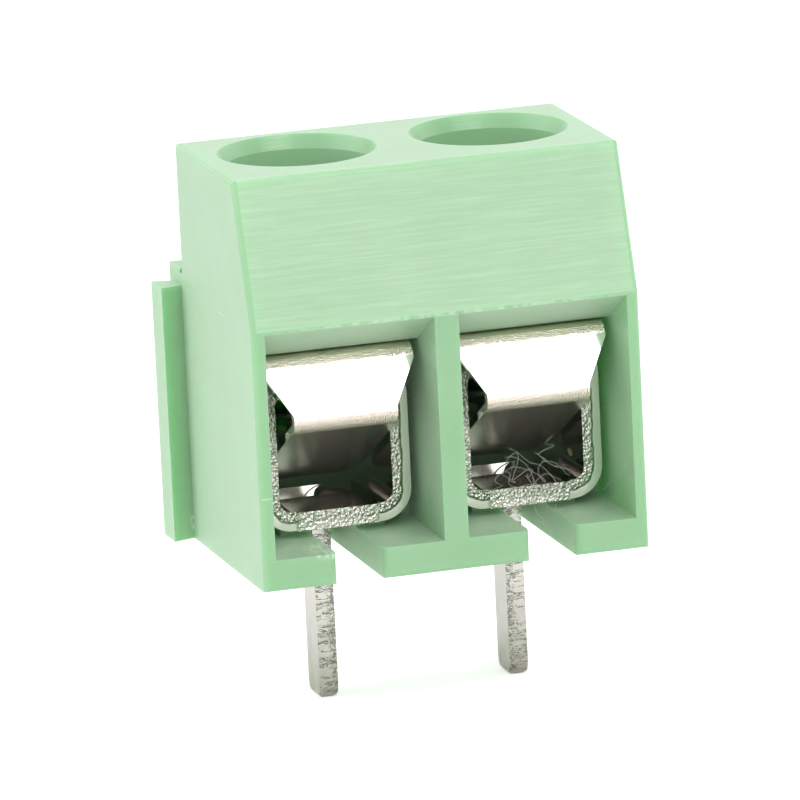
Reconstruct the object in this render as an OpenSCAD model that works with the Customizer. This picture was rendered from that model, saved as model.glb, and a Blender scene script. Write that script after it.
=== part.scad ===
// Two-pole screw terminal block for a circuit board, with wire guards.
// Millimetres, +Z up. The origin is on the board's surface, midway between the
// two solder pins. The wires go in along +Y, and the screws stand along Z.

/* [Body] */
// Distance from one pole to the next
pitch = 5; // [4.9:0.02:5.2]
// Height of the body above the board
body_h = 10.2; // [9.8:0.1:11.5]
// From the row of pins forward to the front face
front_reach = 4; // [3.9:0.05:4.6]
// From the row of pins back to the rear face
rear_reach = 3.6; // [3.4:0.05:4.4]
// From the row of pins back to the rear of the raised part
top_reach = 2.4; // [2.15:0.05:2.8]
// Height at which the front face starts to lean back
slope_z = 6.57; // [6.3:0.01:7]
// How far the leaning face goes back up to the top
slope_back = 1.17; // [0.8:0.01:1.4]
// Height of the ledge behind the raised part
ledge_z = 6.95; // [6.7:0.05:7.5]
// Radius of the moulded outer edges
edge_r = 0.16; // [0.1:0.01:0.2]

/* [Wire cells] */
// Thickness of the two end walls at the mouth of a cell
end_wall = 0.32; // [0.26:0.01:0.36]
// Thickness of the wall between the cells
divider_t = 0.62; // [0.5:0.01:0.7]
// Thickness of the floor
floor_t = 0.8; // [0.6:0.05:0.9]
// Flat lip under the leaning face, above each mouth
lip_h = 0.07; // [0.05:0.01:0.15]
// How far the slanted underside of the lip runs in
lip_run = 1.58; // [1.4:0.02:1.7]
// How far a cell's side gaps reach back past the terminal's front
side_gap = 1.2; // [0.8:0.1:1.4]
// Width of the slots that let the pins in from the front
slot_w = 1.2; // [1.1:0.05:1.4]
// From the row of pins back to the end of the slots
slot_back = 1; // [0.8:0.05:1.3]
// Radius of the slots' corners at the front face
slot_r = 0.25; // [0.15:0.05:0.4]

/* [Screw wells] */
// Diameter of a well
well_d = 3.7; // [3.65:0.05:3.8]
// Diameter of the well's mouth
mouth_d = 4; // [3.85:0.05:4.2]
// Depth of the well's conical mouth
mouth_h = 0.36; // [0.2:0.02:0.6]

/* [Interlock] */
// How far the dovetail rib stands out
rib_out = 0.57; // [0.4:0.01:0.65]
// Width of the rib's outer face
rib_w = 0.95; // [0.8:0.01:1.1]
// How much narrower the rib is on each side at its root
rib_undercut = 0.18; // [0.1:0.01:0.22]
// From the row of pins back to the middle of the rib
rib_y = 2.72; // [2.65:0.01:2.85]
// Height of the rib
rib_h = 6.55; // [6:0.05:6.8]

/* [Terminals] */
// Sheet thickness of the folded terminals
sheet = 0.48; // [0.4:0.02:0.54]
// Width of a folded terminal, outside
cage_w = 3.9; // [3.7:0.05:4]
// Depth of a folded terminal, front to back
cage_depth = 3.8; // [3.4:0.05:3.85]
// From the row of pins forward to the front of a terminal
cage_front = 2.05; // [1.8:0.05:2.1]
// Clear height inside a terminal
cage_clear = 2.94; // [2.8:0.02:3]
// Outer radius of the two lower folds
fold_r = 0.8; // [0.7:0.05:1]
// Outer radius of the two upper folds
top_fold_r = 0.7; // [0.6:0.05:0.8]
// How far the upper lap stops short of the terminal's right side
lap_short = 0.25; // [0.1:0.05:0.3]
// Width of the cut-off stub on a terminal's front edge
stub_w = 2.1; // [1.6:0.05:2.2]
// How far the stub stands forward
stub_out = 0.1; // [0.05:0.01:0.15]

/* [Solder pins] */
// Width of a pin, along Y
pin_w = 1; // [0.9:0.02:1.06]
// How far a pin reaches below the body
pin_len = 3.8; // [3:0.1:4.5]
// Length of the rounded end of a pin
pin_taper = 0.45; // [0.3:0.05:0.7]
// Radius of the corners at a pin's end, seen from the front
pin_tip_r = 0.14; // [0.08:0.02:0.18]
// Inner radius of the bend at a pin's root
root_r = 0.2; // [0.15:0.01:0.25]
// Gap of the cut around the tongue that makes a pin
lance_gap = 0.05; // [0.04:0.01:0.08]
// Height of the window that the tongue leaves in the terminal's wall
window_z = 4.1; // [3.6:0.05:4.2]

/* [Wire guards] */
// Thickness of the spring leaf
leaf_t = 0.2; // [0.16:0.01:0.22]
// Width of the leaf at its upper bend
leaf_w = 3.95; // [3.7:0.05:4.1]
// Width of the leaf inside the terminal
tongue_w = 2.7; // [2.5:0.02:2.72]
// Lean of the leaf's front web from upright, in degrees
web_lean = 26; // [22:1:32]
// Slope of the leaf's tongue below level, in degrees
tongue_drop = 28; // [26:1:30]
// From the row of pins forward to the corner of the nose
nose_y = 3.3; // [3.2:0.02:3.4]
// Height of the corner of the nose
nose_z = 3.95; // [3.9:0.01:4.05]
// Radius of the bends, on the leaf's middle line
leaf_r = 0.25; // [0.2:0.01:0.3]
// From the row of pins back to the end of the tongue
tongue_back = 0.8; // [0.6:0.05:0.9]
// Radius of the tongue's corners
tongue_r = 0.7; // [0.6:0.05:0.9]
// Width of the upper flange, inside the body's pocket
flange_w = 3.6; // [3.2:0.05:3.7]
// From the row of pins back to the end of the upper flange
flange_back = 1.6; // [1.5:0.05:1.7]

/* [Screws] */
// Thread diameter
thread_d = 2.5; // [2.4:0.05:2.6]
// Length under the head
screw_len = 4; // [3.8:0.05:4.2]
// Height of the head
head_h = 1.6; // [1.3:0.05:1.65]
// Width of the driver slot
driver_w = 0.7; // [0.5:0.05:0.8]
// Depth of the driver slot
driver_h = 0.9; // [0.6:0.05:1]
// Chamfer round the top of the head
head_chamfer = 0.12; // [0.05:0.01:0.2]
// Diameter of the flat tip
tip_d = 1; // [0.8:0.05:1.2]

/* [Clearances] */
// Gap between a terminal and the walls beside it
cage_gap = 0.04; // [0.03:0.01:0.06]
// Height that the terminals stand above the floor, on rails
rail_h = 0.2; // [0.1:0.01:0.25]
// Gap between the leaf's flange and what lies above and below it
leaf_gap = 0.02; // [0.02:0.01:0.04]
// Radial gap between a screw's thread and its hole in the terminal
thread_gap = 0.04; // [0.02:0.01:0.06]
// Radial gap between a screw's thread and its hole in the leaf
leaf_hole_gap = 0.2; // [0.1:0.01:0.25]
// Gap between a screw's tip and the leaf
tip_gap = 0.02; // [0.01:0.01:0.04]
// Radial gap between a screw's head and its well
head_gap = 0.1; // [0.05:0.01:0.15]
// Gap all round a neighbour's rib in the interlock groove
rib_gap = 0.05; // [0.03:0.01:0.06]

/* [Hidden] */
$fn = 64;
bend_steps = 10;                        // flats in each bend of a strip's outline
eps = 0.1;                              // how far a cut runs past the face it leaves
pole_x = [-pitch / 2, pitch / 2];       // the two poles, from the left
body_w = 2 * pitch;
cell_w = pitch - end_wall - divider_t / 2;
cell_x = (pitch - end_wall + divider_t / 2) / 2;        // middle of a cell, from the body's middle
// Terminal, from its seat up
seat_z = floor_t + rail_h;
cage_floor_z = seat_z + sheet;
cage_roof_z = cage_floor_z + cage_clear;
cage_top_z = cage_roof_z + 2 * sheet;   // the two ends of the strip lap over each other
pocket_w = cage_w + 2 * cage_gap;
pocket_back = cage_depth - cage_front + cage_gap;
// Leaf, from the terminal's top up
flange_z = cage_top_z + leaf_gap + leaf_t / 2;          // middle of the flange
roof_z = flange_z + leaf_t / 2 + 2 * leaf_gap;          // roof of the pocket in the body
// Screw: its tip stands on the sloping tongue
tongue_top_z = nose_z - nose_y * tan(tongue_drop) + leaf_t / 2 / cos(tongue_drop);
tip_z = tongue_top_z + tip_d / 2 * tan(tongue_drop) + tip_gap;
head_z = tip_z + screw_len;
head_top_z = head_z + head_h;
head_d = well_d - 2 * head_gap;
// Middle line of the leaf, as [y, z] corners
nose = [-nose_y, nose_z];
crest = [-nose_y + (flange_z - nose_z) * tan(web_lean), flange_z];

// --- helpers -----------------------------------------------------------------

// Extrude a [y, z] outline along X, centred
module along_x(w) {
    rotate([90, 0, 90]) translate([0, 0, -w / 2]) linear_extrude(w) children();
}

// Extrude an [x, z] outline along Y, from y0 to y1
module along_y(y0, y1) {
    translate([0, y1, 0]) rotate([90, 0, 0]) linear_extrude(y1 - y0) children();
}

// Rectangle with its own radius at each lower and each upper corner
module round_rect(x0, z0, x1, z1, r_low, r_high) {
    union() {
        translate([x0 + r_low, z0]) square([x1 - x0 - 2 * r_low, z1 - z0]);
        translate([x0, z0 + r_low]) square([x1 - x0, z1 - z0 - r_low - r_high]);
        translate([x0 + r_high, z0 + r_low]) square([x1 - x0 - 2 * r_high, z1 - z0 - r_low]);
        for (x = [x0 + r_low, x1 - r_low]) translate([x, z0 + r_low]) circle(r_low);
        for (x = [x0 + r_high, x1 - r_high]) translate([x, z1 - r_high]) circle(r_high);
    }
}

// Points of an arc about c, from angle a0 round to a1
function arc(c, r, a0, a1) =
    [for (i = [0:bend_steps]) let (a = a0 + (a1 - a0) * i / bend_steps) c + r * [cos(a), sin(a)]];

// --- housing -----------------------------------------------------------------

// Side outline of the body, as [y, z]
module body_outline() {
    polygon([[-front_reach, 0], [rear_reach, 0], [rear_reach, ledge_z], [top_reach, ledge_z],
             [top_reach, body_h], [slope_back - front_reach, body_h], [-front_reach, slope_z]]);
}

// Cutter that rounds one straight outer edge along local Z; the corner is at the origin
module edge_cut(len) {
    translate([0, 0, -eps]) difference() {
        translate([-eps, -eps, 0]) cube([edge_r + eps, edge_r + eps, len + 2 * eps]);
        translate([edge_r, edge_r, -eps]) cylinder(r = edge_r, h = len + 4 * eps);
    }
}

// Both ends of an outline corner at [y, z]: rounds the edge that runs along X.
// turn is the direction, in degrees, in which the first face leaves the corner.
module round_along_x(y, z, turn) {
    translate([-body_w / 2, y, z]) rotate([turn, 0, 0]) rotate([90, 0, 90]) edge_cut(body_w);
}

module body_block() {
    lean = atan2(slope_back, body_h - slope_z);
    slope_len = norm([slope_back, body_h - slope_z]);
    difference() {
        along_x(body_w) body_outline();
        // level edges across the body
        round_along_x(-front_reach, 0, 0);
        round_along_x(rear_reach, 0, 90);
        round_along_x(rear_reach, ledge_z, 180);
        round_along_x(top_reach, body_h, 180);
        // end edges, on the left and mirrored on the right
        for (side = [0, 1]) mirror([side, 0, 0]) translate([-body_w / 2, 0, 0]) {
            translate([0, -front_reach, 0]) edge_cut(slope_z);
            translate([0, rear_reach, 0]) rotate(-90) edge_cut(ledge_z);
            translate([0, top_reach, ledge_z]) rotate(-90) edge_cut(body_h - ledge_z);
            translate([0, -front_reach, slope_z]) rotate([-lean, 0, 0]) edge_cut(slope_len);
            translate([0, slope_back - front_reach, body_h]) rotate([-90, 0, 0])
                edge_cut(top_reach + front_reach - slope_back);
        }
    }
}

// Dovetail section, with grow added all round, reaching out to the left of x = 0
module dovetail(grow) {
    outer = rib_w / 2 + grow;
    root = rib_w / 2 - rib_undercut + grow;
    translate([0, rib_y]) polygon([[eps, -root], [0, -root], [-rib_out - grow, -outer],
                                   [-rib_out - grow, outer], [0, root], [eps, root]]);
}

module rib() {
    translate([-body_w / 2, 0, 0]) linear_extrude(rib_h) dovetail(0);
}

// The neighbour's rib goes in here, from below
module rib_groove() {
    translate([body_w / 2, 0, -eps]) linear_extrude(rib_h + rib_gap + eps) dovetail(rib_gap);
}

// Space of one pole: mouth, pocket for the terminal and the leaf, and pin slot
module wire_cell() {
    lip_z = slope_z - lip_h;
    back_y = side_gap - cage_front;
    along_x(cell_w) polygon([
        [-front_reach - eps, floor_t], [back_y, floor_t], [back_y, roof_z],
        [lip_run - front_reach, roof_z], [-front_reach, lip_z], [-front_reach - eps, lip_z]]);
}

// Slot for a pin, in plan, with its two corners at the front face rounded
module pin_slot() {
    flare_w = slot_w + 2 * slot_r;
    translate([-slot_w / 2, -front_reach - eps]) square([slot_w, front_reach + slot_back + eps]);
    difference() {
        translate([-flare_w / 2, -front_reach - eps]) square([flare_w, slot_r + eps]);
        for (x = [-flare_w / 2, flare_w / 2]) translate([x, slot_r - front_reach]) circle(slot_r);
    }
}

module cage_pocket() {
    translate([-pocket_w / 2, -cage_front - eps, floor_t])
        cube([pocket_w, pocket_back + cage_front + eps, roof_z - floor_t]);
    translate([0, 0, -eps]) linear_extrude(floor_t + 2 * eps) pin_slot();
}

module screw_well() {
    flare = (mouth_d - well_d) / mouth_h;
    translate([0, 0, roof_z - eps]) cylinder(d = well_d, h = body_h - roof_z + 2 * eps);
    translate([0, 0, body_h - mouth_h])
        cylinder(d1 = well_d, d2 = mouth_d + flare * eps, h = mouth_h + eps);
}

// Two low rails that a terminal stands on, behind its front edge
module cage_rails() {
    rail_w = (cage_w - 2 * fold_r - slot_w) / 2 + fold_r / 4;
    for (side = [0, 1]) mirror([side, 0, 0])
        translate([slot_w / 2, -cage_front + sheet, floor_t - eps])
            cube([rail_w, pocket_back + cage_front - sheet + eps, rail_h + eps]);
}

module housing() {
    color([0.62, 0.83, 0.64]) union() {
        difference() {
            union() {
                body_block();
                rib();
            }
            rib_groove();
            for (side = [-1, 1]) translate([side * cell_x, 0, 0]) wire_cell();
            for (x = pole_x) translate([x, 0, 0]) {
                cage_pocket();
                screw_well();
            }
        }
        for (x = pole_x) translate([x, 0, 0]) cage_rails();
    }
}

// --- terminal with its solder pin ----------------------------------------------

// Folded strip seen from the front. Its two ends lap over each other at the top,
// and the upper end stops short of the right side.
module cage_section() {
    lap_x = cage_w / 2 - lap_short;
    difference() {
        union() {
            round_rect(-cage_w / 2, seat_z, cage_w / 2, cage_top_z - sheet, fold_r, top_fold_r);
            intersection() {
                round_rect(-cage_w / 2, seat_z, cage_w / 2, cage_top_z, fold_r, top_fold_r);
                translate([-cage_w, cage_roof_z - sheet]) square([cage_w + lap_x, 3 * sheet + eps]);
            }
        }
        round_rect(-cage_w / 2 + sheet, cage_floor_z, cage_w / 2 - sheet, cage_roof_z,
                   fold_r - sheet, top_fold_r - sheet);
    }
}

// Tongue bent down out of the floor, seen from the front: the bend, then the straight pin
module pin_section() {
    root = [sheet / 2 + root_r, seat_z - root_r];
    corner = [sheet / 2 - pin_tip_r, pin_tip_r - pin_len];
    polygon(concat(arc([-corner[0], corner[1]], pin_tip_r, 270, 180),
                   arc(root, root_r + sheet, 180, 90),
                   [[root[0] + sheet, cage_floor_z], [root[0] + sheet, seat_z]],
                   arc(root, root_r, 90, 180), arc(corner, pin_tip_r, 0, -90)));
}

// Side view of the pin, as [y, z]: its end is rounded down to half its width
module pin_side() {
    round_end = [for (i = [0:bend_steps]) let (a = 90 * i / bend_steps)
        [pin_w / 4 * (1 + cos(a)), pin_taper * (1 - sin(a)) - pin_len]];
    polygon(concat([[-pin_w / 2, cage_floor_z], [pin_w / 2, cage_floor_z]], round_end,
                   [for (i = [bend_steps:-1:0]) [-round_end[i][0], round_end[i][1]]]));
}

module terminal() {
    lance_w = pin_w + 2 * lance_gap;
    color([0.82, 0.82, 0.8]) union() {
        difference() {
            along_y(-cage_front, cage_depth - cage_front) cage_section();
            // where the tongue was cut out of the floor and one wall
            translate([-cage_w / 2 - eps, -lance_w / 2, seat_z - eps])
                cube([cage_w / 2 + eps + sheet / 2 + root_r, lance_w, window_z - seat_z + eps]);
            // tapped hole through both laps
            translate([0, 0, cage_roof_z - eps])
                cylinder(r = thread_d / 2 + thread_gap, h = 2 * sheet + 2 * eps);
        }
        intersection() {
            along_y(-pin_w, pin_w) pin_section();
            along_x(cage_w) pin_side();
        }
        translate([-stub_w / 2, -cage_front - stub_out, seat_z])
            cube([stub_w, stub_out + eps, sheet]);
    }
}

// --- wire guard ------------------------------------------------------------------

// Leaf seen from the side: flange, upper bend, web, nose and tongue, as [y, z]
module leaf_section() {
    web_turn = 90 - web_lean;                       // turn at the upper bend
    nose_turn = 90 + web_lean - tongue_drop;        // turn at the nose
    web_out = 180 - web_lean;                       // direction that the web faces
    crest_c = crest + leaf_r * [tan(web_turn / 2), -1];
    down = [-sin(web_lean), -cos(web_lean)];        // along the web
    nose_c = nose - down * leaf_r * tan(nose_turn / 2) - leaf_r * [cos(web_out), sin(web_out)];
    back = [cos(tongue_drop), -sin(tongue_drop)];   // along the tongue
    tongue_end = nose + back * (nose_y + tongue_back) / back[0];
    lift = leaf_t / 2 * [-back[1], back[0]];        // from middle line to upper face
    outer_r = leaf_r + leaf_t / 2;
    inner_r = leaf_r - leaf_t / 2;
    polygon(concat([[flange_back, flange_z + leaf_t / 2]],
                   arc(crest_c, outer_r, 90, web_out), arc(nose_c, outer_r, web_out, web_out + nose_turn),
                   [tongue_end - lift, tongue_end + lift],
                   arc(nose_c, inner_r, web_out + nose_turn, web_out), arc(crest_c, inner_r, web_out, 90),
                   [[flange_back, flange_z - leaf_t / 2]]));
}

// Leaf seen from the front: wide above, tapering down the web to the tongue
module leaf_front() {
    web_top = crest[1] - leaf_r;
    web_foot = nose_z + leaf_r;
    top = flange_z + leaf_t;
    polygon([[-leaf_w / 2, top], [-leaf_w / 2, web_top], [-tongue_w / 2, web_foot],
             [-tongue_w / 2, 0], [tongue_w / 2, 0], [tongue_w / 2, web_foot],
             [leaf_w / 2, web_top], [leaf_w / 2, top]]);
}

// Leaf seen from above: the flange is narrower where it lies in the pocket
module leaf_plan() {
    shoulder_y = cage_front + 2 * leaf_gap;
    translate([-leaf_w / 2, -front_reach]) square([leaf_w, front_reach - shoulder_y]);
    translate([-flange_w / 2, -front_reach]) square([flange_w, front_reach + flange_back + eps]);
}

// Cutter for one rounded corner at the end of the tongue, in plan
module tongue_corner() {
    difference() {
        translate([-tongue_r, -tongue_r, 0]) cube([tongue_r + eps, tongue_r + eps, nose_z]);
        translate([-tongue_r, -tongue_r, -eps]) cylinder(r = tongue_r, h = nose_z + 2 * eps);
    }
}

module wire_guard() {
    color([0.9, 0.9, 0.92]) difference() {
        intersection() {
            along_x(leaf_w + 2 * eps) leaf_section();
            along_y(-front_reach, flange_back + eps) leaf_front();
            linear_extrude(body_h) leaf_plan();
        }
        for (side = [0, 1]) mirror([side, 0, 0])
            translate([tongue_w / 2, tongue_back, 0]) tongue_corner();
        translate([0, 0, flange_z - leaf_t])
            cylinder(r = thread_d / 2 + leaf_hole_gap, h = 2 * leaf_t);
    }
}

// --- screw -----------------------------------------------------------------------

module screw() {
    tip_h = (thread_d - tip_d) / 2;
    color([0.75, 0.76, 0.78]) difference() {
        rotate_extrude() polygon([
            [0, tip_z], [tip_d / 2, tip_z], [thread_d / 2, tip_z + tip_h],
            [thread_d / 2, head_z], [head_d / 2, head_z], [head_d / 2, head_top_z - head_chamfer],
            [head_d / 2 - head_chamfer, head_top_z], [0, head_top_z]]);
        translate([-head_d, -driver_w / 2, head_top_z - driver_h])
            cube([2 * head_d, driver_w, driver_h + eps]);
    }
}

// --- placing -----------------------------------------------------------------------

module at_pole(i) {
    translate([pole_x[i - 1], 0, 0]) children();
}

housing();
at_pole(1) terminal();  // terminal_1
at_pole(2) terminal();  // terminal_2
at_pole(1) wire_guard();  // wire_guard_1
at_pole(2) wire_guard();  // wire_guard_2
at_pole(1) screw();  // screw_1
at_pole(2) screw();  // screw_2
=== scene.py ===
import math
import random

import bmesh
import bpy
from bpy.props import FloatProperty, FloatVectorProperty, IntProperty, PointerProperty
from mathutils import Matrix, Vector


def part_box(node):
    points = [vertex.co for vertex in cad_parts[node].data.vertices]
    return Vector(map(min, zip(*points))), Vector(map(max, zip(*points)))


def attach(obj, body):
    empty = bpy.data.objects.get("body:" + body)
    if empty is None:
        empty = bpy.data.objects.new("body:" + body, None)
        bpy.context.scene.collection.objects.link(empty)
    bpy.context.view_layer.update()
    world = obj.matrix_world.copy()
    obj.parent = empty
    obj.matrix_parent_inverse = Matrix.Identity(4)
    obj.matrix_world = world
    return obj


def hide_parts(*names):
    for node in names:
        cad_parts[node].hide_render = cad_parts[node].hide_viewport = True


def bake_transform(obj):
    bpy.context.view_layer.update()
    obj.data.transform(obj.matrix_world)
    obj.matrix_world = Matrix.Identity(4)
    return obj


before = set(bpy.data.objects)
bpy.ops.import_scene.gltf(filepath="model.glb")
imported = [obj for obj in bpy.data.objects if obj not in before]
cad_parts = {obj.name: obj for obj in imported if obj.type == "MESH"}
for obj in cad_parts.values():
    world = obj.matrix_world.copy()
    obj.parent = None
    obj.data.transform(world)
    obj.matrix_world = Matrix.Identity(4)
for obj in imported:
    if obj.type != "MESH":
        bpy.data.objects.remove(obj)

bl_info = {
    "name": "Screw terminal block",
    "version": (1, 0, 0),
    "blender": (4, 5, 0),
    "location": "3D View > Sidebar > Terminal block",
    "description": "Dresses a two-pole circuit board screw terminal with its finishes, lint and stage",
    "category": "Add Mesh",
}

MM = 0.001
POLES = (1, 2)
CRISP = math.radians(12)    # edges that turn by less than this are facets of one curved face
SHARP = math.radians(50)    # edges that turn by more than this are rounded

# Places that come from the frame
BODY_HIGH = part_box("housing")[1]
BODY_RIGHT = BODY_HIGH.x
BODY_TOP = BODY_HIGH.z
PIN_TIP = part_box("terminal_2")[0].z
LEAF_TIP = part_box("wire_guard_2")[0].z
SCREW_LOW, SCREW_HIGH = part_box("screw_2")
SCREW_TIP = SCREW_LOW.z
POLE_X = (SCREW_LOW.x + SCREW_HIGH.x) / 2

# Places on the pieces, as the part's source has them
SLOPE_FACING = (0, -0.9518, 0.3068)    # outward direction of the leaning face
OPENING_Z = 2.95 * MM       # middle of a terminal's square opening
OPENING_CORE = 1.15 * MM    # half its width, less its corner radius
NOSE_Z = 4.05 * MM          # each leaf starts to bend here
SCREW_RADIUS = 1.25 * MM
THREAD_STEPS = 24           # steps in one turn of the thread
FIBRE_STEPS = 24            # steps along one fibre of lint


def linear(code):
    """Turn an sRGB hex colour such as "#A6D4A4" into linear red, green, blue and alpha."""
    parts = [int(code[i : i + 2], 16) / 255 for i in (1, 3, 5)]
    return (*((c / 12.92 if c <= 0.04045 else ((c + 0.055) / 1.055) ** 2.4) for c in parts), 1.0)


def length(name, millimetres, description):
    """A length setting, given in millimetres and kept in metres."""
    return FloatProperty(name=name, description=description, default=millimetres * MM, min=0, subtype="DISTANCE",
                         unit="LENGTH", precision=5)


def colour(name, code, description):
    """A colour setting, given as sRGB hex."""
    return FloatVectorProperty(name=name, description=description, default=linear(code), size=4, min=0, max=1,
                               subtype="COLOR")


# --- settings ---------------------------------------------------------------------


class MouldingSettings(bpy.types.PropertyGroup):
    edge: length("Edge radius", 0.045, "Radius on the moulding's sharp outer edges")
    plastic: colour("Plastic", "#A2C8A2", "Colour of the moulded polyamide")
    plastic_deep: colour("Plastic, deep", "#90BF92", "Colour of its slightly darker mottling")
    # the pale colour of wear and scuffs, and also the colour painted for edge highlights and for the sheen on the
    # leaning face
    pale_wear_and_highlight: colour("Worn edge", "#D6EAD3", "Colour of the stressed, whitened edges")


class MetalSettings(bpy.types.PropertyGroup):
    burr: length("Edge break", 0.02, "Width of the tiny bevel on the sheet metal's edges")
    tin: colour("Tin plate", "#E6E3DC", "Colour of the tinned sheet")
    tarnish: colour("Tarnish", "#8A7F70", "Colour of the dulled tin in the tears and at the pins' tips")
    leaf: colour("Spring leaf", "#EEEBE6", "Colour of the polished leaf")
    leaf_bend: colour("Spring leaf, bends", "#F3E4D8", "Colour of the leaf where it is bent")
    zinc: colour("Zinc plate", "#C3C7CB", "Colour of the plated screws")
    thread_pitch: length("Thread pitch", 0.45, "Pitch of the screws' thread")
    thread_depth: length("Thread depth", 0.24, "Depth of the screws' thread")
    leaf_bands: IntProperty(name="Leaf bands", description="Cuts across each leaf's tongue, so that it can bend",
                            default=18, min=4, max=60)


class LintSettings(bpy.types.PropertyGroup):
    thickness: length("Fibre thickness", 0.012, "Diameter of the lint's fibres")
    fibres: IntProperty(name="Fibres", description="Number of fibres in the tangle", default=7, min=1, max=60)
    seed: IntProperty(name="Seed", description="Picks another tangle", default=4, min=0)
    grey: colour("Fibre", "#8D8F87", "Colour of the lint")


class StageSettings(bpy.types.PropertyGroup):
    azimuth: FloatProperty(name="Azimuth", description="How far the camera stands to the left of the front",
                           default=math.radians(16.21), subtype="ANGLE")
    elevation: FloatProperty(name="Elevation", description="How far the camera looks down",
                             default=math.radians(13.06), subtype="ANGLE")
    roll: FloatProperty(name="Roll", description="Turn of the camera about its own axis",
                        default=math.radians(-2.81), subtype="ANGLE")
    distance: length("Distance", 270.3, "From the aim point to the camera")
    aim_right: FloatProperty(name="Aim, right", description="How far right of the aim point the camera's axis passes",
                             default=-0.12 * MM, subtype="DISTANCE", unit="LENGTH", precision=5)
    aim_up: FloatProperty(name="Aim, up", description="How far above the aim point the camera's axis passes",
                          default=-1.402 * MM, subtype="DISTANCE", unit="LENGTH", precision=5)
    focal: FloatProperty(name="Focal length", description="Focal length on a 36 mm sensor, in millimetres",
                         default=486.1, min=10)
    floor: colour("Floor", "#F6F6F5", "Colour of the floor")


class TerminalBlockSettings(bpy.types.PropertyGroup):
    moulding: PointerProperty(type=MouldingSettings)
    metal: PointerProperty(type=MetalSettings)
    lint: PointerProperty(type=LintSettings)
    stage: PointerProperty(type=StageSettings)


# --- nodes and materials ------------------------------------------------------------


def add(tree, kind, inputs=(), **settings):
    """Add a shader node, set its properties, and give each input named a value, or a link from a node or socket."""
    node = tree.nodes.new("ShaderNode" + kind)
    for name, value in settings.items():
        setattr(node, name, value)
    for key, value in dict(inputs).items():
        if isinstance(value, bpy.types.Node):
            value = value.outputs[0]
        if isinstance(value, bpy.types.NodeSocket):
            tree.links.new(value, node.inputs[key])
        else:
            node.inputs[key].default_value = value
    return node


def new_material(name):
    """An empty node material and its tree."""
    material = bpy.data.materials.new(name)
    material.use_nodes = True
    material.node_tree.nodes.clear()
    return material, material.node_tree


def zone(tree, place, centre, reach, core=0.6):
    """A mask that is 1 in the core of an ellipsoid, given in millimetres, and falls to 0 at its surface."""
    offset = add(tree, "VectorMath", {0: place, 1: [-c * MM for c in centre]}, operation="ADD")
    scaled = add(tree, "VectorMath", {0: offset, 1: [1 / (r * MM) for r in reach]}, operation="MULTIPLY")
    away = add(tree, "VectorMath", {0: scaled}, operation="LENGTH").outputs["Value"]
    return add(tree, "MapRange", {0: away, 1: core, 2: 1.0, 3: 1.0, 4: 0.0})


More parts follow.
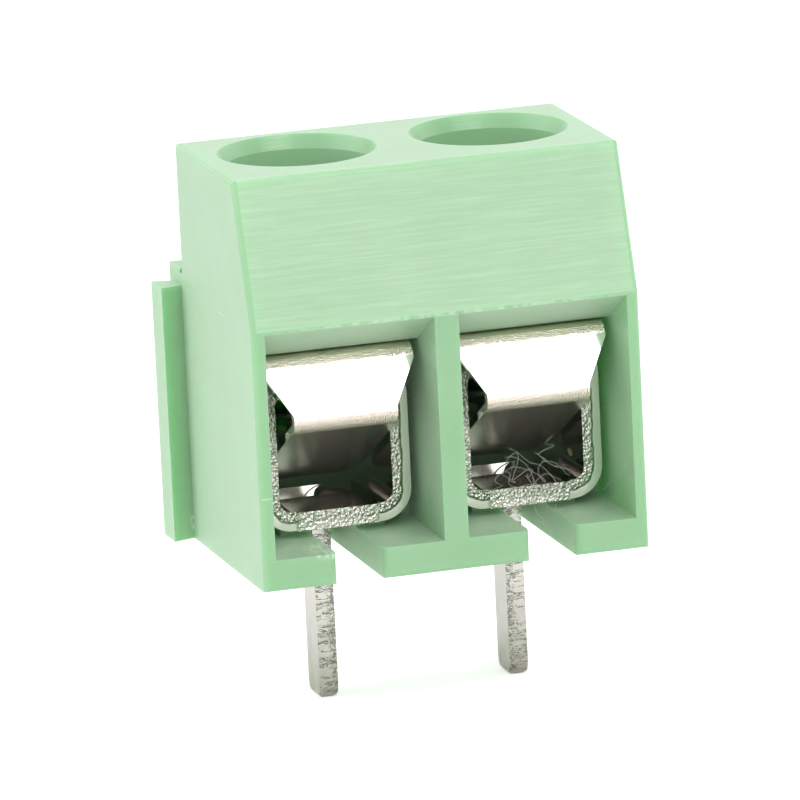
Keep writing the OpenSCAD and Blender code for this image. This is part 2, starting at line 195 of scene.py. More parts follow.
def moulded_polyamide(settings):
    """Polyamide 6.6, injection moulded in a polished tool: satin, with a painted sheen that makes it paler at a flat
    angle, glowing where it is thin, with polishing lines across the leaning face over a painted sheen on that whole
    face, draw marks inside the cells, scuffs that turn white where stressed, and edges whitened partly by wear and
    partly as a painted highlight."""
    material, tree = new_material("moulded_polyamide")
    place = add(tree, "TexCoord").outputs["Object"]
    axes = add(tree, "SeparateXYZ", {0: place})
    normal = add(tree, "NewGeometry").outputs["Normal"]
    facing = add(tree, "SeparateXYZ", {0: normal})

    # mottling, about 2 mm across
    clouds = add(tree, "TexNoise", {"Vector": place, "Scale": 0.5 / MM, "Detail": 4.0, "Roughness": 0.6})
    mottled_and_sheen = add(tree, "Mix", {0: clouds, 6: settings.plastic, 7: settings.plastic_deep}, data_type="RGBA")

    # painted sheen: the colour is paled towards a pale green at a flat angle, which makes the top and the left side
    # paler
    tilt = add(tree, "LayerWeight", {"Blend": 0.5}).outputs["Facing"]
    painted_sheen = add(tree, "MapRange", {0: tilt, 1: 0.6, 2: 0.85, 3: 0.0, 4: 0.25})
    mottled_and_sheen = add(tree, "Mix", {0: painted_sheen, 6: mottled_and_sheen.outputs[2], 7: linear("#E6F0E2")}, data_type="RGBA")

    # polishing lines on the leaning face: 0.06 mm apart and about 2 mm long, over a painted sheen that pales the
    # whole face
    lines_place = add(tree, "Mapping", {0: place, 3: (0.5 / MM, 5 / MM, 17 / MM)})
    lines = add(tree, "TexNoise", {"Vector": lines_place, "Scale": 1.0, "Detail": 3.0, "Roughness": 0.7})
    lean = add(tree, "VectorMath", {0: normal, 1: SLOPE_FACING}, operation="DOT_PRODUCT").outputs["Value"]
    on_slope = add(tree, "MapRange", {0: lean, 1: 0.97, 2: 0.995})
    # the mix never falls below 0.17, so the whole leaning face is paled by a painted sheen as well as streaked
    streak_and_sheen = add(tree, "MapRange", {0: lines, 1: 0.42, 2: 0.72, 3: 0.17, 4: 0.4})
    slope_streak_and_sheen = add(tree, "Math", {0: streak_and_sheen, 1: on_slope}, operation="MULTIPLY")
    streaked_and_sheen = add(tree, "Mix", {0: slope_streak_and_sheen, 6: mottled_and_sheen.outputs[2], 7: settings.pale_wear_and_highlight}, data_type="RGBA")

    # draw marks on the cells' side walls: level ripples 0.13 mm apart, in patches
    draw_place = add(tree, "Mapping", {0: place, 3: (0.2 / MM, 1.1 / MM, 7.5 / MM)})
    draw = add(tree, "TexNoise", {"Vector": draw_place, "Scale": 1.0, "Detail": 2.0})
    sideways = add(tree, "Math", {0: facing.outputs[0]}, operation="ABSOLUTE")
    on_side = add(tree, "MapRange", {0: sideways, 1: 0.9, 2: 0.98})
    from_middle = add(tree, "Math", {0: axes.outputs[0]}, operation="ABSOLUTE")
    inside = add(tree, "MapRange", {0: from_middle, 1: BODY_RIGHT - 0.1 * MM, 2: BODY_RIGHT - 0.2 * MM})
    on_cell_wall = add(tree, "Math", {0: on_side, 1: inside}, operation="MULTIPLY")
    patches = add(tree, "MapRange", {0: clouds, 1: 0.42, 2: 0.58})
    ripple = add(tree, "Math", {0: draw, 1: on_cell_wall}, operation="MULTIPLY")
    ripple = add(tree, "Math", {0: ripple, 1: patches}, operation="MULTIPLY")

    # stress whitening with painted highlights: edges whitened partly by wear and partly as a painted edge highlight,
    # broken up at about 1 mm, and scuffs broken up at 0.15 mm
    edge = add(tree, "Attribute", attribute_name="edge_wear_and_highlight").outputs["Fac"]
    broken = add(tree, "TexNoise", {"Vector": place, "Scale": 1.1 / MM, "Detail": 3.0})
    kept = add(tree, "MapRange", {0: broken, 1: 0.4, 2: 0.65, 3: 0.1, 4: 0.6})
    worn_and_highlit = add(tree, "Math", {0: edge, 1: kept}, operation="MULTIPLY")
    scratch_place = add(tree, "Mapping", {0: place, 2: (0, 0, 0.5), 3: (9 / MM, 2.5 / MM, 6 / MM)})
    scratches = add(tree, "TexNoise", {"Vector": scratch_place, "Scale": 1.0, "Detail": 4.0})
    scratched = add(tree, "MapRange", {0: scratches, 1: 0.4, 2: 0.6})
    ragged = add(tree, "TexNoise", {"Vector": place, "Scale": 4 / MM, "Detail": 3.0})
    torn = add(tree, "MapRange", {0: ragged, 1: 0.42, 2: 0.56})
    # where, how far it reaches, and how strong: all in millimetres from the part's origin
    for centre, reach, strength, break_up in (
        ((-3.35, -3.4, 0.8), (0.5, 0.85, 0.25), 1.0, scratched),        # scuffed floor beside the left slot
        ((-3.2, -4.0, 0.8), (0.5, 0.2, 0.12), 0.8, scratched),          # and its front edge
        ((1.6, -3.2, 0.8), (0.7, 0.6, 0.2), 0.3, scratched),            # fainter, beside the right slot
        ((0.0, -4.0, 6.53), (5.2, 0.16, 0.06), 0.45, torn),             # flash under the leaning face
        ((-2.2, -2.45, 5.68), (2.4, 0.16, 0.12), 0.5, torn),            # flash at the back of the left lintel
        ((-5.0, 2.83, 5.95), (0.14, 0.16, 0.1), 0.9, torn),             # nicks beside the rib
        ((-5.0, 2.5, 0.45), (0.14, 0.2, 0.3), 0.9, torn),
        ((-5.0, 0.6, 6.53), (0.2, 3.0, 0.035), 0.6, patches),           # painted highlight along the tiny step of the parting line on the left side
        ((-4.84, -4.0, 2.38), (0.2, 0.1, 0.03), 0.5, None),             # fine line across the left wall's edge
    ):
        mark = zone(tree, place, centre, reach)
        if break_up is not None:
            mark = add(tree, "Math", {0: mark, 1: break_up}, operation="MULTIPLY")
        worn_and_highlit = add(tree, "Math", {0: mark, 1: strength, 2: worn_and_highlit}, operation="MULTIPLY_ADD", use_clamp=True)
    coloured = add(tree, "Mix", {0: worn_and_highlit, 6: streaked_and_sheen.outputs[2], 7: settings.pale_wear_and_highlight}, data_type="RGBA")

    # one black speck moulded into the right well's wall
    speck = zone(tree, place, (4.36, 1.5, 9.62), (0.06, 0.06, 0.05))
    specked = add(tree, "Mix", {0: speck, 6: coloured.outputs[2], 7: linear("#2A3A2C")}, data_type="RGBA")

    # relief: a grain of 0.12 mm, the polishing lines and the draw marks, all very shallow
    grain = add(tree, "TexNoise", {"Vector": place, "Scale": 8 / MM, "Detail": 3.0})
    relief = add(tree, "Math", {0: lines, 1: on_slope, 2: grain}, operation="MULTIPLY_ADD")
    relief = add(tree, "Math", {0: ripple, 1: 4.0, 2: relief}, operation="MULTIPLY_ADD")
    relief = add(tree, "Math", {0: worn_and_highlit, 1: 1.5, 2: relief}, operation="MULTIPLY_ADD")
    bump = add(tree, "Bump", {"Strength": 0.3, "Distance": 0.01 * MM, "Height": relief})
    gloss = add(tree, "MapRange", {0: clouds, 3: 0.36, 4: 0.48})
    shader = add(tree, "BsdfPrincipled", {"Base Color": specked.outputs[2], "Roughness": gloss.outputs[0],
                                          "Normal": bump, "IOR": 1.53, "Sheen Weight": 0.15,
                                          "Sheen Roughness": 0.5, "Subsurface Weight": 0.45,
                                          "Subsurface Radius": (0.2, 1.0, 0.25), "Subsurface Scale": 1.0 * MM})
    add(tree, "OutputMaterial", {0: shader})
    return material


def tinned_sheet(settings):
    """Bright tin on brass strip, stamped and folded: nearly a mirror on the rolled faces. On the cut edges the
    punch leaves a smooth burnished half and a torn, crystalline half, and on the pins it leaves level tears."""
    material, tree = new_material("tinned_sheet")
    place = add(tree, "TexCoord").outputs["Object"]
    axes = add(tree, "SeparateXYZ", {0: place})
    normal = add(tree, "NewGeometry").outputs["Normal"]
    facing = add(tree, "SeparateXYZ", {0: normal})
    endways = add(tree, "Math", {0: facing.outputs[1]}, operation="ABSOLUTE")
    on_cut = add(tree, "MapRange", {0: endways, 1: 0.75, 2: 0.9})

    # how far out from the terminal's opening, which is 2.94 mm square with 0.32 mm corners
    from_middle = add(tree, "Math", {0: axes.outputs[0]}, operation="ABSOLUTE")
    across = add(tree, "Math", {0: from_middle, 1: POLE_X}, operation="SUBTRACT")
    upward = add(tree, "Math", {0: axes.outputs[2], 1: OPENING_Z}, operation="SUBTRACT")
    square = add(tree, "CombineXYZ", {0: across, 1: upward})
    square = add(tree, "VectorMath", {0: square}, operation="ABSOLUTE")
    square = add(tree, "VectorMath", {0: square, 1: (OPENING_CORE, OPENING_CORE, 0)}, operation="SUBTRACT")
    square = add(tree, "VectorMath", {0: square, 1: (0, 0, 0)}, operation="MAXIMUM")
    reach = add(tree, "VectorMath", {0: square}, operation="LENGTH").outputs["Value"]
    ragged = add(tree, "TexNoise", {"Vector": place, "Scale": 3 / MM, "Detail": 3.0})
    wavy = add(tree, "Math", {0: ragged, 1: 0.12 * MM, 2: reach}, operation="MULTIPLY_ADD")
    inner_half = add(tree, "MapRange", {0: wavy, 1: 0.6 * MM, 2: 0.66 * MM, 3: 1.0, 4: 0.0})
    above_pin = add(tree, "MapRange", {0: axes.outputs[2], 1: 0.9 * MM, 2: 0.95 * MM})

    # crystals of the tear, 0.08 mm and finer; they also cover the whole of the cut-off stub
    crystals = add(tree, "TexNoise", {"Vector": place, "Scale": 14 / MM, "Detail": 4.0, "Roughness": 0.75})
    stub = zone(tree, place, (0, -2.2, 1.24), (100, 0.1, 0.3), core=0.9)
    stub_left = zone(tree, place, (-2.5, -2.15, 1.24), (1.07, 0.4, 0.6), core=0.98)
    stub_right = zone(tree, place, (2.5, -2.15, 1.24), (1.07, 0.4, 0.6), core=0.98)
    stubs = add(tree, "Math", {0: stub_left, 1: stub_right}, operation="MAXIMUM")
    stubs = add(tree, "Math", {0: stubs, 1: stub}, operation="MULTIPLY")
    rough_zone = add(tree, "Math", {0: inner_half, 1: above_pin}, operation="MULTIPLY")
    rough_zone = add(tree, "Math", {0: stubs, 1: 0.7, 2: rough_zone}, operation="MULTIPLY_ADD", use_clamp=True)
    rough_zone = add(tree, "Math", {0: rough_zone, 1: on_cut}, operation="MULTIPLY")
    # only at the front: the lanced slot's cut face, further back, is smooth
    at_front = add(tree, "MapRange", {0: axes.outputs[1], 1: -1.0 * MM, 2: -0.9 * MM, 3: 1.0, 4: 0.0})
    rough_zone = add(tree, "Math", {0: rough_zone, 1: at_front}, operation="MULTIPLY")
    facets = add(tree, "TexVoronoi", {"Vector": place, "Scale": 13 / MM}).outputs["Distance"]
    glints = add(tree, "Math", {0: crystals, 1: 0.6, 2: facets}, operation="MULTIPLY_ADD")
    crystal_height = add(tree, "Math", {0: glints, 1: rough_zone}, operation="MULTIPLY")

    # level tears across the pins' cut faces: 0.15 mm apart, and broken into crumbs on the left
    tear_place = add(tree, "Mapping", {0: place, 3: (1.2 / MM, 1.2 / MM, 7 / MM)})
    tears = add(tree, "TexNoise", {"Vector": tear_place, "Scale": 1.0, "Detail": 4.0, "Roughness": 0.7})
    off_level = add(tree, "Math", {0: tears, 1: 0.5}, operation="SUBTRACT")
    off_level = add(tree, "Math", {0: off_level}, operation="ABSOLUTE")
    tear = add(tree, "MapRange", {0: off_level, 1: 0.004, 2: 0.02, 3: 1.0, 4: 0.0})
    crumbs_side = add(tree, "MapRange", {0: across, 1: 0.0, 2: -0.18 * MM})
    crumbs = add(tree, "MapRange", {0: crystals, 1: 0.5, 2: 0.42})
    crumbs = add(tree, "Math", {0: crumbs, 1: crumbs_side}, operation="MULTIPLY")
    tear = add(tree, "Math", {0: tear, 1: crumbs}, operation="MAXIMUM")
    below = add(tree, "Math", {0: 1.0, 1: above_pin}, operation="SUBTRACT")
    on_pin = add(tree, "Math", {0: below, 1: on_cut}, operation="MULTIPLY")
    pin_tear = add(tree, "Math", {0: tear, 1: on_pin}, operation="MULTIPLY")

    # tarnish: grey-brown in the tears; grey-brown in noisy patches that grow towards the pins' tips; and one greenish
    # flux stain inside
    tip = add(tree, "MapRange", {0: axes.outputs[2], 1: -1.0 * MM, 2: PIN_TIP, 3: 0.0, 4: 0.8})
    browner_towards_tip = add(tree, "Math", {0: ragged, 1: tip}, operation="MULTIPLY")
    dull = add(tree, "Math", {0: pin_tear, 1: 0.75, 2: browner_towards_tip}, operation="MULTIPLY_ADD", use_clamp=True)
    pits = add(tree, "MapRange", {0: crystals, 1: 0.5, 2: 0.4})
    pitted = add(tree, "Math", {0: pits, 1: rough_zone}, operation="MULTIPLY")
    pinkish = add(tree, "Math", {0: pitted, 1: 0.8, 2: dull}, operation="MULTIPLY_ADD", use_clamp=True)
    plated = add(tree, "Mix", {0: pinkish, 6: settings.tin, 7: settings.tarnish}, data_type="RGBA")
    flux = zone(tree, place, (3.97, -0.92, 1.92), (0.1, 0.24, 0.11))
    coloured = add(tree, "Mix", {0: flux, 6: plated.outputs[2], 7: linear("#A9A764")}, data_type="RGBA")
    solid = add(tree, "Math", {0: 1.0, 1: flux}, operation="SUBTRACT")

    # relief: rolling waves, crystals and tears
    waves = add(tree, "TexNoise", {"Vector": place, "Scale": 1.6 / MM, "Detail": 2.0})
    height = add(tree, "Math", {0: waves, 1: 0.06, 2: crystal_height}, operation="MULTIPLY_ADD")
    height = add(tree, "Math", {0: pin_tear, 1: -0.35, 2: height}, operation="MULTIPLY_ADD")
    height = add(tree, "Math", {0: ragged, 1: 0.05, 2: height}, operation="MULTIPLY_ADD")
    bump = add(tree, "Bump", {"Strength": 1.0, "Distance": 0.05 * MM, "Height": height})
    gloss = add(tree, "MapRange", {0: on_cut, 3: 0.11, 4: 0.2})
    shader = add(tree, "BsdfPrincipled", {"Base Color": coloured.outputs[2], "Metallic": solid,
                                          "Roughness": gloss.outputs[0], "Normal": bump})
    add(tree, "OutputMaterial", {0: shader})
    return material


def polished_leaf(settings):
    """Nickel-plated bronze spring strip, rolled bright: a mirror on the flats, and finely cracked, matt and
    slightly warm in colour where it is bent."""
    material, tree = new_material("polished_leaf")
    place = add(tree, "TexCoord").outputs["Object"]
    axes = add(tree, "SeparateXYZ", {0: place})
    ragged = add(tree, "TexNoise", {"Vector": place, "Scale": 5 / MM, "Detail": 3.0})
    height_here = add(tree, "Math", {0: ragged, 1: 0.08 * MM, 2: axes.outputs[2]}, operation="MULTIPLY_ADD")
    nose_low = add(tree, "MapRange", {0: height_here, 1: 3.72 * MM, 2: 3.76 * MM})
    nose_high = add(tree, "MapRange", {0: height_here, 1: 4.12 * MM, 2: 4.16 * MM, 3: 1.0, 4: 0.0})
    nose = add(tree, "Math", {0: nose_low, 1: nose_high}, operation="MULTIPLY")
    crest = add(tree, "MapRange", {0: height_here, 1: 5.36 * MM, 2: 5.42 * MM})
    bent = add(tree, "Math", {0: nose, 1: crest}, operation="MAXIMUM")

    # cracks in the plating over the bends, 0.05 mm apart
    cracks = add(tree, "TexVoronoi", {"Vector": place, "Scale": 24 / MM})
    crazed = add(tree, "Math", {0: cracks.outputs["Distance"], 1: bent}, operation="MULTIPLY")
    tint = add(tree, "Mix", {0: bent, 6: settings.leaf, 7: settings.leaf_bend}, data_type="RGBA")
    waves = add(tree, "TexNoise", {"Vector": place, "Scale": 1.2 / MM, "Detail": 2.0})
    height = add(tree, "Math", {0: waves, 1: 0.08, 2: crazed}, operation="MULTIPLY_ADD")
    bump = add(tree, "Bump", {"Strength": 0.8, "Distance": 0.03 * MM, "Height": height})
    below = add(tree, "SeparateXYZ", {0: add(tree, "NewGeometry").outputs["Normal"]})
    underside = add(tree, "MapRange", {0: below.outputs[2], 1: -0.5, 2: -0.8})
    dulled = add(tree, "Math", {0: bent, 1: underside}, operation="MAXIMUM")
    gloss = add(tree, "MapRange", {0: dulled, 3: 0.09, 4: 0.27})
    shader = add(tree, "BsdfPrincipled", {"Base Color": tint.outputs[2], "Metallic": 1.0,
                                          "Roughness": gloss.outputs[0], "Normal": bump})
    add(tree, "OutputMaterial", {0: shader})
    return material


def zinc_plated_steel(settings):
    """Cold-headed steel with bright zinc: a fine turned grain and faint blotches in the passivation."""
    material, tree = new_material("zinc_plated_steel")
    place = add(tree, "TexCoord").outputs["Object"]
    blotch = add(tree, "TexNoise", {"Vector": place, "Scale": 1.5 / MM, "Detail": 4.0})
    tint = add(tree, "Mix", {0: blotch, 6: settings.zinc, 7: linear("#A9ACA8")}, data_type="RGBA")
    grain = add(tree, "TexNoise", {"Vector": place, "Scale": 12 / MM, "Detail": 2.0})
    bump = add(tree, "Bump", {"Strength": 0.3, "Distance": 0.01 * MM, "Height": grain})
    gloss = add(tree, "MapRange", {0: blotch, 3: 0.24, 4: 0.38})
    shader = add(tree, "BsdfPrincipled", {"Base Color": tint.outputs[2], "Metallic": 1.0,
                                          "Roughness": gloss.outputs[0], "Normal": bump})
    add(tree, "OutputMaterial", {0: shader})
    return material


def cotton_lint(settings):
    """Stray textile fibres: dull, pale where they catch the light, and uneven in colour along their length."""
    material, tree = new_material("cotton_lint")
    place = add(tree, "TexCoord").outputs["Object"]
    patches = add(tree, "TexNoise", {"Vector": place, "Scale": 2 / MM})
    tint = add(tree, "Mix", {0: patches, 6: settings.grey, 7: linear("#C4C5BD")}, data_type="RGBA")
    shader = add(tree, "BsdfPrincipled", {"Base Color": tint.outputs[2], "Roughness": 0.8, "IOR": 1.5})
    add(tree, "OutputMaterial", {0: shader})
    return material


def studio_paper(settings):
    """Matt white background paper, lifted to white where it is seen directly."""
    material, tree = new_material("studio_paper")
    place = add(tree, "TexCoord").outputs["Object"]
    fibre = add(tree, "TexNoise", {"Vector": place, "Scale": 0.3 / MM})
    tint = add(tree, "Mix", {0: fibre, 6: settings.floor, 7: linear("#F2F2F2")}, data_type="RGBA")
    paper = add(tree, "BsdfDiffuse", {0: tint.outputs[2]})
    path = add(tree, "LightPath")
    seen = add(tree, "Math", {0: path.outputs["Is Camera Ray"], 1: 0.45}, operation="MULTIPLY")
    lift = add(tree, "Emission", {1: seen})
    both = add(tree, "AddShader", {0: paper, 1: lift})
    add(tree, "OutputMaterial", {0: both})
    return material


# --- mesh helpers ---------------------------------------------------------------------


def merged_copy(node):
    """The CAD node's mesh with its loose triangles joined, and flat groups of them made one face."""
    mesh = bmesh.new()
    mesh.from_mesh(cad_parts[node].data)
    bmesh.ops.remove_doubles(mesh, verts=mesh.verts, dist=0.002 * MM)
    bmesh.ops.dissolve_limit(mesh, angle_limit=math.radians(1), verts=mesh.verts, edges=mesh.edges)
    return mesh


def break_edges(mesh, width, sharper_than, segments=2):
    """Round each outward edge that turns by more than the angle, and mark the new faces for whitening, which is
    partly wear and partly a painted edge highlight. Inward and blunter edges stay crisp."""
    wear_and_highlight_layer = mesh.faces.layers.float.get("edge_wear_and_highlight") or mesh.faces.layers.float.new("edge_wear_and_highlight")
    for edge in mesh.edges:
        edge.smooth = edge.calc_face_angle(0) < CRISP
    sharp = [e for e in mesh.edges if e.is_manifold and e.is_convex and e.calc_face_angle(0) > sharper_than]
    made = bmesh.ops.bevel(mesh, geom=sharp, offset=width, offset_type="OFFSET", affect="EDGES", segments=segments,
                           profile=0.5, material=-1, clamp_overlap=True)
    for face in made["faces"]:
        face[wear_and_highlight_layer] = 1.0


def finish_piece(name, mesh, material):
    """Make the mesh an object that shades smoothly, with flat faces kept flat."""
    for face in mesh.faces:
        face.smooth = True
    data = bpy.data.meshes.new(name)
    mesh.to_mesh(data)
    mesh.free()
    data.materials.append(material)
    piece = bpy.data.objects.new(name, data)
    bpy.context.scene.collection.objects.link(piece)
    flats = piece.modifiers.new("flat_faces_stay_flat", "WEIGHTED_NORMAL")
    flats.keep_sharp = True
    return piece


def fibre_path(dice, start, end, wander):
    """Points from start to end that wander in smooth loops, flatter from front to back."""
    waves = [[(dice.uniform(0.5, 2.3), dice.uniform(0, math.tau), dice.uniform(0.4, 1.0)) for _ in range(2)]
             for _ in range(3)]
    path = []
    for step in range(FIBRE_STEPS + 1):
        t = step / FIBRE_STEPS
        fade = math.sin(math.pi * t) ** 0.5
        swing = [sum(size * math.sin(math.tau * rate * t + phase) for rate, phase, size in axis) for axis in waves]
        path.append(start.lerp(end, t) + Vector((swing[0], swing[1] * 0.3, swing[2])) * wander * fade)
    return path


# --- operators --------------------------------------------------------------------------


class TERMINALBLOCK_OT_housing(bpy.types.Operator):
    """Make the green moulding with softened edges"""

    bl_idname = "terminal_block.housing"
    bl_label = "Housing"

    def execute(self, context):
        settings = context.scene.terminal_block.moulding
        mesh = merged_copy("housing")
        break_edges(mesh, settings.edge, SHARP)
        piece = finish_piece("housing_moulding", mesh, moulded_polyamide(settings))
        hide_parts("housing")
        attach(piece, "root")
        return {"FINISHED"}


class TERMINALBLOCK_OT_terminals(bpy.types.Operator):
    """Make the two folded terminals with their solder pins"""

    bl_idname = "terminal_block.terminals"
    bl_label = "Terminals"

    def execute(self, context):
        settings = context.scene.terminal_block.metal
        material = tinned_sheet(settings)
        for pole in POLES:
            mesh = merged_copy(f"terminal_{pole}")
            break_edges(mesh, settings.burr, SHARP)
            piece = finish_piece(f"folded_terminal_{pole}", mesh, material)
            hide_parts(f"terminal_{pole}")
            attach(piece, "root")
        return {"FINISHED"}


class TERMINALBLOCK_OT_guards(bpy.types.Operator):
    """Make the two spring leaves, cut into bands across the tongue below the nose"""

    bl_idname = "terminal_block.guards"
    bl_label = "Wire guards"

    def execute(self, context):
        settings = context.scene.terminal_block.metal
        material = polished_leaf(settings)
        for pole in POLES:
            mesh = merged_copy(f"wire_guard_{pole}")
            break_edges(mesh, settings.burr, SHARP)
            for band in range(settings.leaf_bands):
                height = LEAF_TIP + (NOSE_Z - LEAF_TIP) * (band + 0.5) / settings.leaf_bands
                bmesh.ops.bisect_plane(mesh, geom=mesh.verts[:] + mesh.edges[:] + mesh.faces[:],
                                       plane_co=(0, 0, height), plane_no=(0, 0, 1))
            piece = finish_piece(f"spring_leaf_{pole}", mesh, material)
            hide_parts(f"wire_guard_{pole}")
            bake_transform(piece)
        return {"FINISHED"}


class TERMINALBLOCK_OT_screws(bpy.types.Operator):
    """Make the two clamping screws, with their threads cut"""

    bl_idname = "terminal_block.screws"
    bl_label = "Screws"

    def execute(self, context):
        settings = context.scene.terminal_block.metal
        material = zinc_plated_steel(settings)
        core = SCREW_RADIUS - settings.thread_depth
        thread_low = SCREW_TIP + 0.8 * MM
        thread_high = SCREW_TIP + 3.6 * MM
        shank_high = SCREW_TIP + 3.9 * MM
        for pole, x in zip(POLES, (-POLE_X, POLE_X)):
            mesh = merged_copy(f"screw_{pole}")
            break_edges(mesh, settings.burr, SHARP)
            axis = Vector((x, 0))
            shank = [v for v in mesh.verts if v.co.z < shank_high and (v.co.xy - axis).length > core]
            for vert in shank:
                vert.co.xy = axis + (vert.co.xy - axis) * core / SCREW_RADIUS

            # one ridge of the thread, swept round and up the shank
            turns = int((thread_high - thread_low) / settings.thread_pitch)
            half = settings.thread_pitch * 0.42
            root = core - 0.03 * MM
            profile = ((root, -half), (SCREW_RADIUS, -0.05 * MM), (SCREW_RADIUS, 0.05 * MM), (root, half))
            verts = [mesh.verts.new((x + radius, 0, thread_low + rise)) for radius, rise in profile]
            face = mesh.faces.new(verts)
            start = face.verts[:] + face.edges[:] + [face]
            bmesh.ops.spin(mesh, geom=start, cent=(x, 0, 0), axis=(0, 0, 1), angle=math.tau * turns,
                           dvec=(0, 0, settings.thread_pitch / THREAD_STEPS), steps=THREAD_STEPS * turns,
                           use_duplicate=False)
            bmesh.ops.recalc_face_normals(mesh, faces=mesh.faces)
            piece = finish_piece(f"clamping_screw_{pole}", mesh, material)
            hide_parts(f"screw_{pole}")
            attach(piece, f"screw_{pole}")
        return {"FINISHED"}


class TERMINALBLOCK_OT_lint(bpy.types.Operator):
    """Make the stray fibres that hang in the right-hand cell"""

    bl_idname = "terminal_block.lint"
    bl_label = "Lint"

    def execute(self, context):
        settings = context.scene.terminal_block.lint
        dice = random.Random(settings.seed)
        middle = Vector((2.62, -2.36, 1.95))
        # start, end and how far a fibre wanders, in millimetres
        runs = [
            ((1.25, -2.24, 1.5), (3.5, -2.24, 1.42), 0.07),
            ((1.95, -2.22, 2.55), (3.3, -2.24, 1.55), 0.05),
            ((2.1, -2.3, 2.2), (1.5, -2.24, 1.45), 0.16),
            ((2.35, -2.3, 1.8), (2.75, -2.6, 0.42), 0.16),
            ((2.55, -2.3, 1.75), (2.95, -2.8, 0.2), 0.12),
            ((2.6, -2.4, 1.5), (3.35, -3.7, 0.86), 0.14),
            ((2.8, -2.3, 2.1), (3.1, -2.3, 2.75), 0.1),
            ((4.62, -3.85, 2.75), (4.6, -3.8, 1.95), 0.05),
            ((4.6, -3.8, 1.95), (4.2, -2.6, 1.25), 0.04),
        ]
        for _ in range(settings.fibres):
            start = middle + Vector([dice.uniform(-1.2, 0.7), dice.uniform(-0.08, 0.04), dice.uniform(-0.7, 0.6)])
            end = middle + Vector([dice.uniform(-0.9, 1.1), dice.uniform(-0.08, 0.04), dice.uniform(-0.9, 0.4)])
            runs.append((start, end, dice.uniform(0.16, 0.3)))
        curve = bpy.data.curves.new("lint", "CURVE")
        curve.dimensions = "3D"
        curve.bevel_depth = settings.thickness / 2
        curve.bevel_resolution = 1
        curve.resolution_u = 4
        curve.use_fill_caps = True
        for start, end, wander in runs:
            path = fibre_path(dice, Vector(start), Vector(end), wander)
            strand = curve.splines.new("NURBS")
            strand.points.add(len(path) - 1)
            strand.order_u = 4
            strand.use_endpoint_u = True
            for point, place in zip(strand.points, path):
                point.co = (*(place * MM), 1)
        holder = bpy.data.objects.new("lint", curve)
        mesh = bmesh.new()
        mesh.from_mesh(bpy.data.meshes.new_from_object(holder))
        bpy.data.objects.remove(holder)
        bmesh.ops.remove_doubles(mesh, verts=mesh.verts, dist=0.0001 * MM)
        bmesh.ops.recalc_face_normals(mesh, faces=mesh.faces)
        for face in mesh.faces:
            face.smooth = True
        data = bpy.data.meshes.new("cotton_fibres")
        mesh.to_mesh(data)
        mesh.free()
        data.materials.append(cotton_lint(settings))
        piece = bpy.data.objects.new("cotton_fibres", data)
        context.scene.collection.objects.link(piece)
        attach(piece, "root")
        return {"FINISHED"}


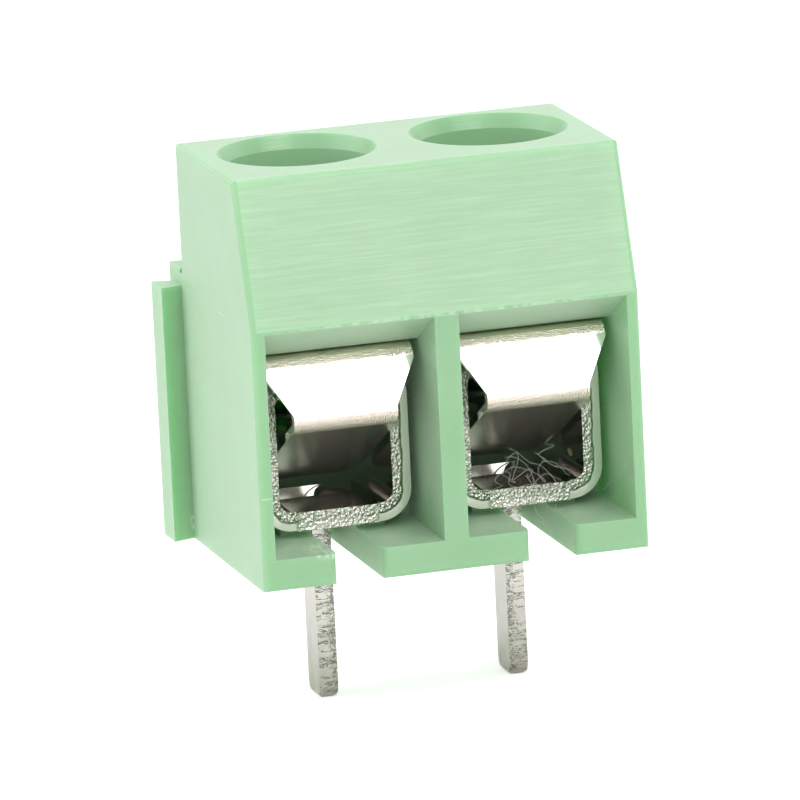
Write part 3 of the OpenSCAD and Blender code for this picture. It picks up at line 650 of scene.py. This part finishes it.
class TERMINALBLOCK_OT_stage(bpy.types.Operator):
    """Make the floor, the soft lights and the camera"""

    bl_idname = "terminal_block.stage"
    bl_label = "Stage"

    def execute(self, context):
        settings = context.scene.terminal_block.stage
        scene = context.scene
        scene.view_settings.view_transform = "Standard"

        paper = bmesh.new()
        bmesh.ops.create_grid(paper, x_segments=1, y_segments=1, size=600 * MM)
        bmesh.ops.translate(paper, verts=paper.verts, vec=(0, 0, PIN_TIP))
        data = bpy.data.meshes.new("floor")
        paper.to_mesh(data)
        paper.free()
        data.materials.append(studio_paper(settings))
        floor = bpy.data.objects.new("floor", data)
        scene.collection.objects.link(floor)

        world = bpy.data.worlds.new("studio")
        scene.world = world
        world.use_nodes = True
        tree = world.node_tree
        tree.nodes.clear()
        path = add(tree, "LightPath")
        direct = add(tree, "Math", {0: path.outputs["Is Camera Ray"], 1: path.outputs["Is Glossy Ray"]},
                     operation="MAXIMUM")
        direct = add(tree, "Math", {0: direct, 1: path.outputs["Is Transmission Ray"]}, operation="MAXIMUM")
        strength = add(tree, "MapRange", {0: direct, 3: 0.5, 4: 1.0})
        sky = add(tree, "Background", {0: (1, 1, 1, 1), 1: strength.outputs[0]})
        add(tree, "OutputWorld", {0: sky})

        middle = Vector((0, 0, BODY_TOP / 2))
        # name, direction to the light from the front, metres away, width, brightness
        for name, towards, away, width, brightness in (
            ("left_softbox", (-0.85, 0.2, 0.5), 0.3, 0.26, 2.15),
            ("right_softbox", (0.95, 0.1, 0.3), 0.3, 0.24, 1.4),
            ("front_softbox", (0.05, -0.78, 0.6), 0.32, 0.28, 2.0),
            ("top_softbox", (0.1, 0.3, 0.95), 0.3, 0.24, 1.15),
        ):
            lamp = bpy.data.lights.new(name, "AREA")
            lamp.shape = "SQUARE"
            lamp.size = width
            lamp.energy = brightness * math.pi * width * width
            holder = bpy.data.objects.new(name, lamp)
            scene.collection.objects.link(holder)
            direction = Vector(towards).normalized()
            holder.location = middle + direction * away
            holder.rotation_euler = direction.to_track_quat("Z", "Y").to_euler()

        camera_data = bpy.data.cameras.new("camera")
        camera_data.lens = settings.focal
        camera_data.clip_start = 1 * MM
        camera_data.clip_end = 2.0
        camera = bpy.data.objects.new("camera", camera_data)
        scene.collection.objects.link(camera)
        turn = (Matrix.Rotation(-settings.azimuth, 3, "Z") @ Matrix.Rotation(math.pi / 2 - settings.elevation, 3, "X")
                @ Matrix.Rotation(settings.roll, 3, "Z"))
        aim = Vector((0, -0.2 * MM, 5 * MM))
        camera.matrix_world = Matrix.Translation(
            aim + turn @ Vector((settings.aim_right, settings.aim_up, settings.distance))) @ turn.to_4x4()
        scene.camera = camera
        return {"FINISHED"}


class TERMINALBLOCK_PT_panel(bpy.types.Panel):
    """Settings and pieces of the terminal block"""

    bl_idname = "TERMINALBLOCK_PT_panel"
    bl_label = "Terminal block"
    bl_space_type = "VIEW_3D"
    bl_region_type = "UI"
    bl_category = "Terminal block"

    def draw(self, context):
        settings = context.scene.terminal_block
        for group in ("moulding", "metal", "lint", "stage"):
            box = self.layout.box()
            box.label(text=group.capitalize())
            part = getattr(settings, group)
            for name in part.bl_rna.properties.keys():
                if name not in ("rna_type", "name"):
                    box.prop(part, name)
        for operator in OPERATORS:
            self.layout.operator(operator.bl_idname)


OPERATORS = (
    TERMINALBLOCK_OT_housing,
    TERMINALBLOCK_OT_terminals,
    TERMINALBLOCK_OT_guards,
    TERMINALBLOCK_OT_screws,
    TERMINALBLOCK_OT_lint,
    TERMINALBLOCK_OT_stage,
)
GROUPS = (MouldingSettings, MetalSettings, LintSettings, StageSettings, TerminalBlockSettings)
CLASSES = (*GROUPS, *OPERATORS, TERMINALBLOCK_PT_panel)


def register():
    for made in CLASSES:
        bpy.utils.register_class(made)
    bpy.types.Scene.terminal_block = PointerProperty(type=TerminalBlockSettings)


def unregister():
    del bpy.types.Scene.terminal_block
    for made in reversed(CLASSES):
        bpy.utils.unregister_class(made)


def main():
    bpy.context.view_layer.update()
    register()
    for operator in OPERATORS:
        name = operator.bl_idname.split(".")[1]
        getattr(bpy.ops.terminal_block, name)()


if __name__ == "__main__":
    main()
